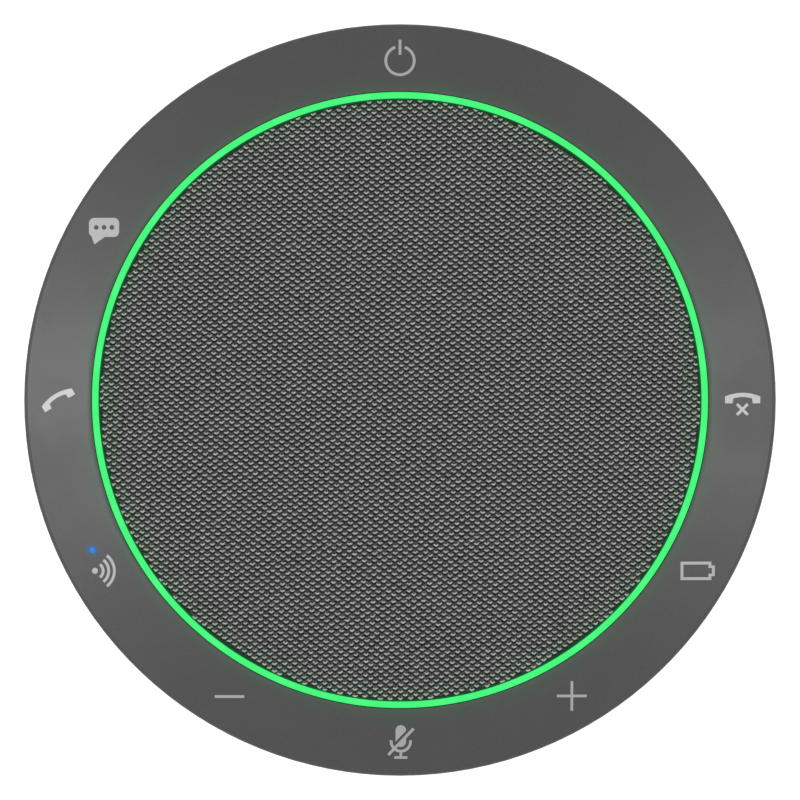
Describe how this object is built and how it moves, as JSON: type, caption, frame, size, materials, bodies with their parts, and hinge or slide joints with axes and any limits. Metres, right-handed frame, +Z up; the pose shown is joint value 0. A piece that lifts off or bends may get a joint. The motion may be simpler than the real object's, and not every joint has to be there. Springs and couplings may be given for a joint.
{
  "type": "conference speakerphone",
  "caption": "Flat round table speakerphone: sloping touch rim with call keys, green light ring, domed fabric grille, screwed casings, sealed speaker, boards, battery and rear USB-C socket.",
  "frame": {"origin": "centre of the face that it stands on", "axes": "+Z up, +Y to the back where the USB socket is, +X to the right of a user who sits on the -Y side"},
  "size_m": [0.12, 0.12, 0.033],
  "materials": {
    "rim_film": "soft-touch matt film with printed pale grey legends",
    "casing_plastic": "fine spark-eroded matt",
    "key_plastic": "as moulded",
    "light_guide": "frosted acrylic lit green from below",
    "grille_plate": "black powder coat",
    "speaker_cloth": "woven polyester, pale yarn loops on dark yarn",
    "soft_rubber": "matt, fine grain",
    "foam": "open foam",
    "screw_steel": "zinc plated",
    "switch_can": "tin plated",
    "switch_stem": "as moulded",
    "circuit_board": "green solder mask",
    "lamp_green": "clear resin over a chip",
    "lamp_blue": "lit blue",
    "microphone_can": "gold flashed",
    "shield_steel": "tin plated, pressed",
    "chip_resin": "black epoxy",
    "socket_resin": "natural nylon",
    "basket_steel": "black paint",
    "motor_steel": "zinc plated",
    "ferrite": "sintered",
    "coil_copper": "enamelled wire",
    "cone_paper": "pressed pulp",
    "spider_cloth": "resin treated cotton",
    "box_plastic": "as moulded",
    "socket_steel": "nickel plated",
    "flex_film": "amber polyimide",
    "pack_foil": "laminated foil pouch",
    "lead_jacket": "red sleeving"
  },
  "bodies": {
    "housing": {"control_overlay": "rim_film", "top_casing": "casing_plastic", "light_ring": "light_guide", "grille_frame": "grille_plate", "grille_fabric": "speaker_cloth", "bottom_casing": "casing_plastic", "casing_seal": "soft_rubber", "foot_ring": "soft_rubber", "case_screws": "screw_steel", "switch_bodies": "switch_can", "main_board": "circuit_board", "ring_leds": "lamp_green", "status_led": "lamp_blue", "status_light_pipe": "lamp_blue", "microphones": "microphone_can", "mic_boots": "soft_rubber", "board_screws": "screw_steel", "shield_can": "shield_steel", "board_chips": "chip_resin", "board_sockets": "socket_resin", "driver_frame": "basket_steel", "driver_gasket": "foam", "driver_screws": "screw_steel", "driver_yoke": "motor_steel", "driver_magnet": "ferrite", "driver_top_plate": "motor_steel", "driver_terminals": "circuit_board", "surround": "soft_rubber", "spider": "spider_cloth", "speaker_box": "box_plastic", "speaker_box_seal": "foam", "speaker_box_screws": "screw_steel", "usb_board": "circuit_board", "usb_socket": "socket_steel", "usb_flex": "flex_film", "battery_pad": "foam", "battery_pack": "pack_foil", "battery_lead": "lead_jacket", "speaker_lead": "lead_jacket"},
    "button_power": {"key_power": "key_plastic", "plunger_power": "switch_stem"},
    "button_meeting": {"key_meeting": "key_plastic", "plunger_meeting": "switch_stem"},
    "button_answer": {"key_answer": "key_plastic", "plunger_answer": "switch_stem"},
    "button_pairing": {"key_pairing": "key_plastic", "plunger_pairing": "switch_stem"},
    "button_volume_down": {"key_volume_down": "key_plastic", "plunger_volume_down": "switch_stem"},
    "button_mute": {"key_mute": "key_plastic", "plunger_mute": "switch_stem"},
    "button_volume_up": {"key_volume_up": "key_plastic", "plunger_volume_up": "switch_stem"},
    "button_battery": {"key_battery": "key_plastic", "plunger_battery": "switch_stem"},
    "button_hang_up": {"key_hang_up": "key_plastic", "plunger_hang_up": "switch_stem"},
    "speaker_cone": {"cone": "cone_paper", "dust_cap": "cone_paper", "voice_coil": "coil_copper"}
  },
  "joints": [
    {"name": "press_power", "type": "slide", "parent": "housing", "child": "button_power", "axis": [0, 0, 1], "range_m": [-0.0003, 0], "stiffness_N_per_m": 1500},
    {"name": "press_meeting", "type": "slide", "parent": "housing", "child": "button_meeting", "axis": [0, 0, 1], "range_m": [-0.0003, 0], "stiffness_N_per_m": 1500},
    {"name": "press_answer", "type": "slide", "parent": "housing", "child": "button_answer", "axis": [0, 0, 1], "range_m": [-0.0003, 0], "stiffness_N_per_m": 1500},
    {"name": "press_pairing", "type": "slide", "parent": "housing", "child": "button_pairing", "axis": [0, 0, 1], "range_m": [-0.0003, 0], "stiffness_N_per_m": 1500},
    {"name": "press_volume_down", "type": "slide", "parent": "housing", "child": "button_volume_down", "axis": [0, 0, 1], "range_m": [-0.0003, 0], "stiffness_N_per_m": 1500},
    {"name": "press_mute", "type": "slide", "parent": "housing", "child": "button_mute", "axis": [0, 0, 1], "range_m": [-0.0003, 0], "stiffness_N_per_m": 1500},
    {"name": "press_volume_up", "type": "slide", "parent": "housing", "child": "button_volume_up", "axis": [0, 0, 1], "range_m": [-0.0003, 0], "stiffness_N_per_m": 1500},
    {"name": "press_battery", "type": "slide", "parent": "housing", "child": "button_battery", "axis": [0, 0, 1], "range_m": [-0.0003, 0], "stiffness_N_per_m": 1500},
    {"name": "press_hang_up", "type": "slide", "parent": "housing", "child": "button_hang_up", "axis": [0, 0, 1], "range_m": [-0.0003, 0], "stiffness_N_per_m": 1500},
    {"name": "cone_travel", "type": "slide", "parent": "housing", "child": "speaker_cone", "axis": [0, 0, 1], "range_m": [-0.0015, 0.0015], "stiffness_N_per_m": 1500, "deforming": ["surround", "spider"]}
  ]
}
